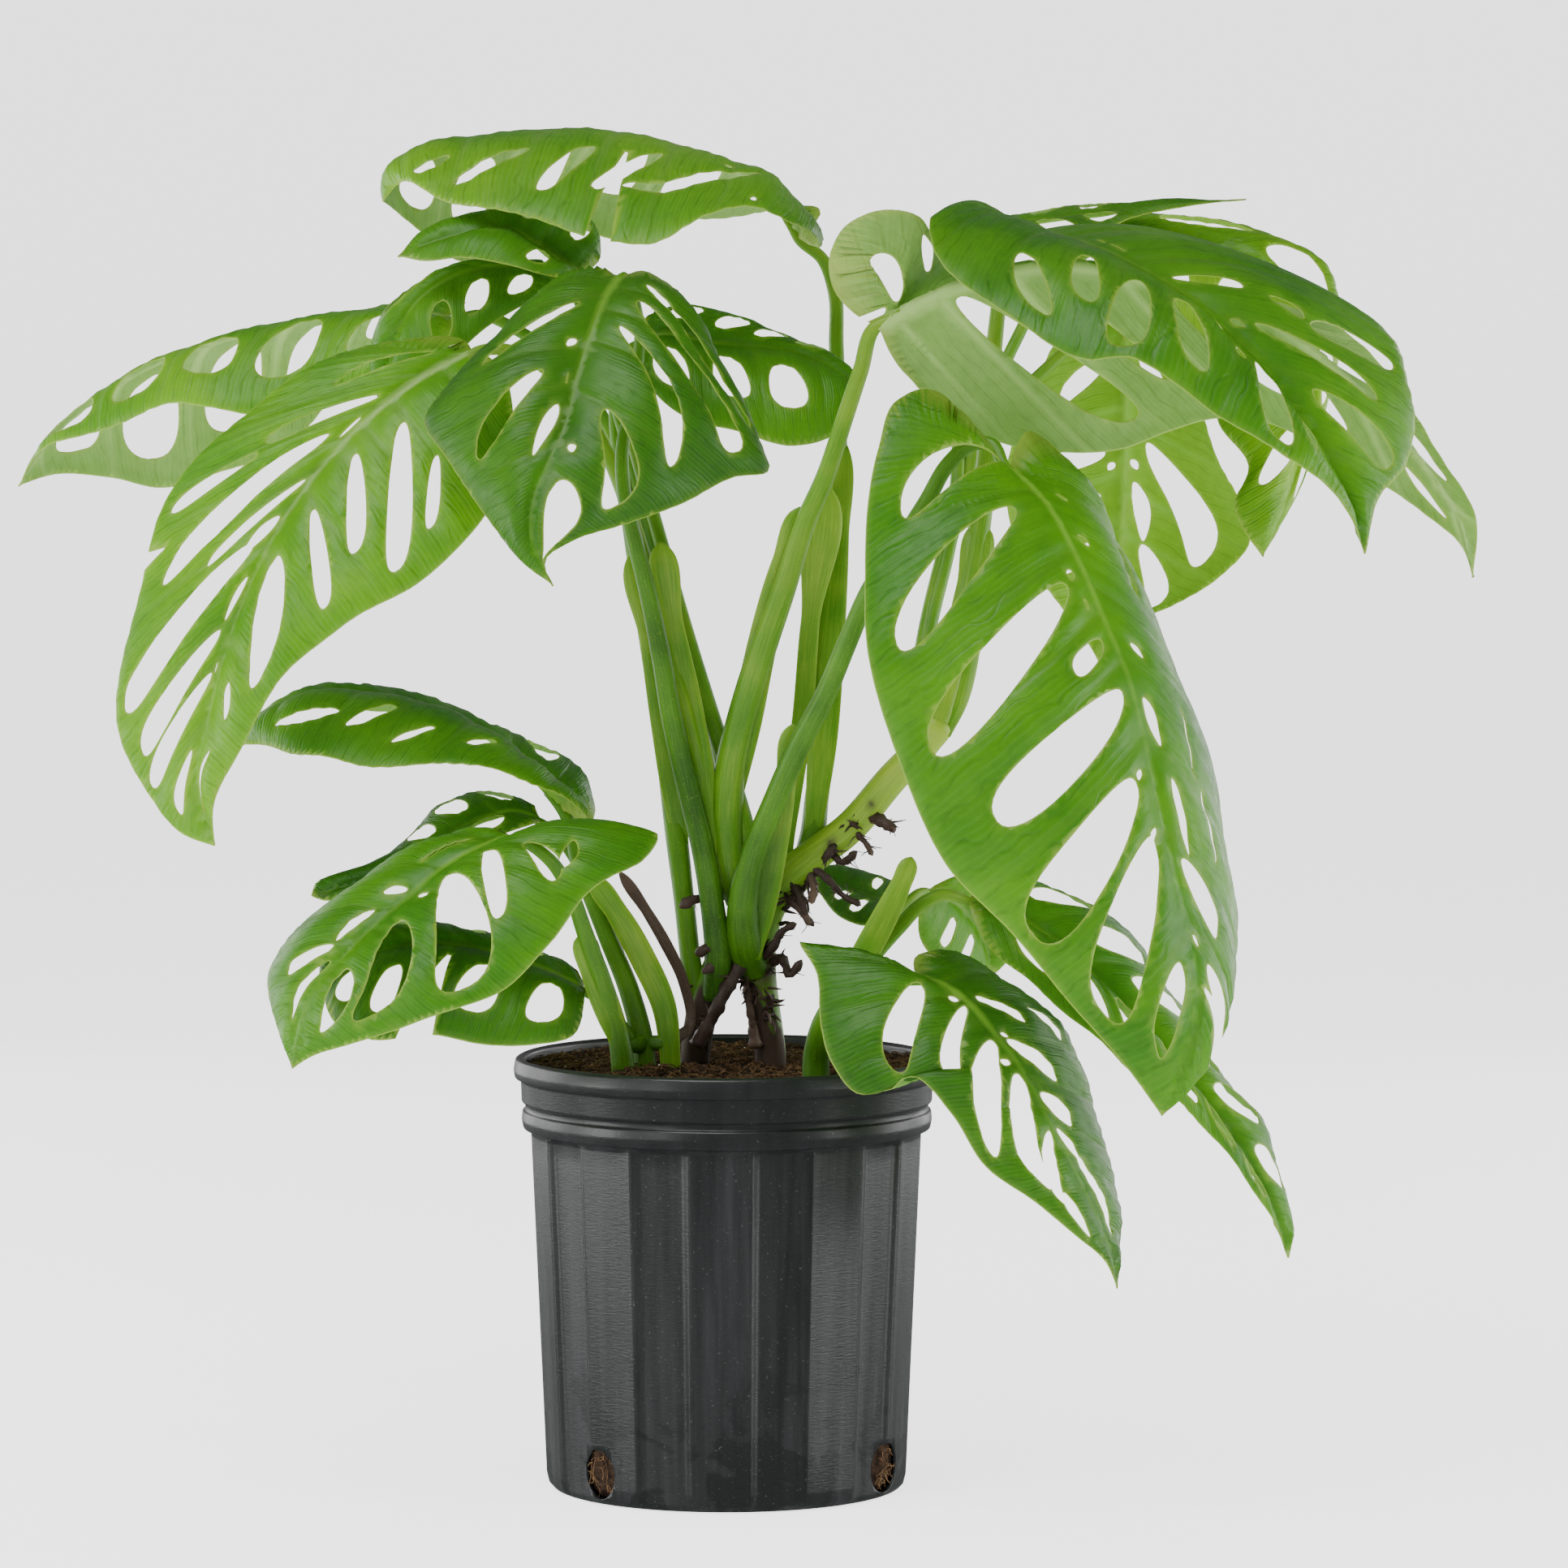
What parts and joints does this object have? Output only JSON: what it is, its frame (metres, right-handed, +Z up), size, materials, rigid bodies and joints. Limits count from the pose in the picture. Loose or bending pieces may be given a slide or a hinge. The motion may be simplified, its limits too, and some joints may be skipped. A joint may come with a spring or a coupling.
{
  "type": "potted monstera plant",
  "caption": "Climbing houseplant with long leathery leaves pierced by rows of windows, arching on stout stalks from a creeping stem in a filled black fluted nursery pot.",
  "frame": {"origin": "centre of the pot's flat underside", "axes": "+Z up along the pot's axis, -Y towards the side the picture shows, +X to the right as seen from there"},
  "size_m": [0.845, 0.3592, 0.7849],
  "materials": {
    "pot": "satin",
    "soil": "matte",
    "stem": "satin",
    "leaf": "satin"
  },
  "bodies": {
    "root": {"pot": "pot", "soil": "soil", "stem_main": "stem", "stem_left": "stem", "stem_right": "stem", "leaf_front_large": "leaf", "leaf_left_lower": "leaf", "leaf_left_upper": "leaf", "leaf_left_back": "leaf", "leaf_centre": "leaf", "leaf_centre_right": "leaf", "leaf_top_left": "leaf", "leaf_top_small": "leaf", "leaf_right_under": "leaf", "leaf_right_front": "leaf", "leaf_right_top": "leaf", "leaf_right_back": "leaf", "leaf_back_bright": "leaf", "leaf_low_right_front": "leaf", "leaf_low_right_back": "leaf", "leaf_low_right_dark": "leaf", "leaf_low_right_pale": "leaf", "leaf_low_left_front": "leaf", "leaf_low_left_mid": "leaf", "leaf_low_left_upper": "leaf", "leaf_low_left_back": "leaf"}
  },
  "joints": []
}
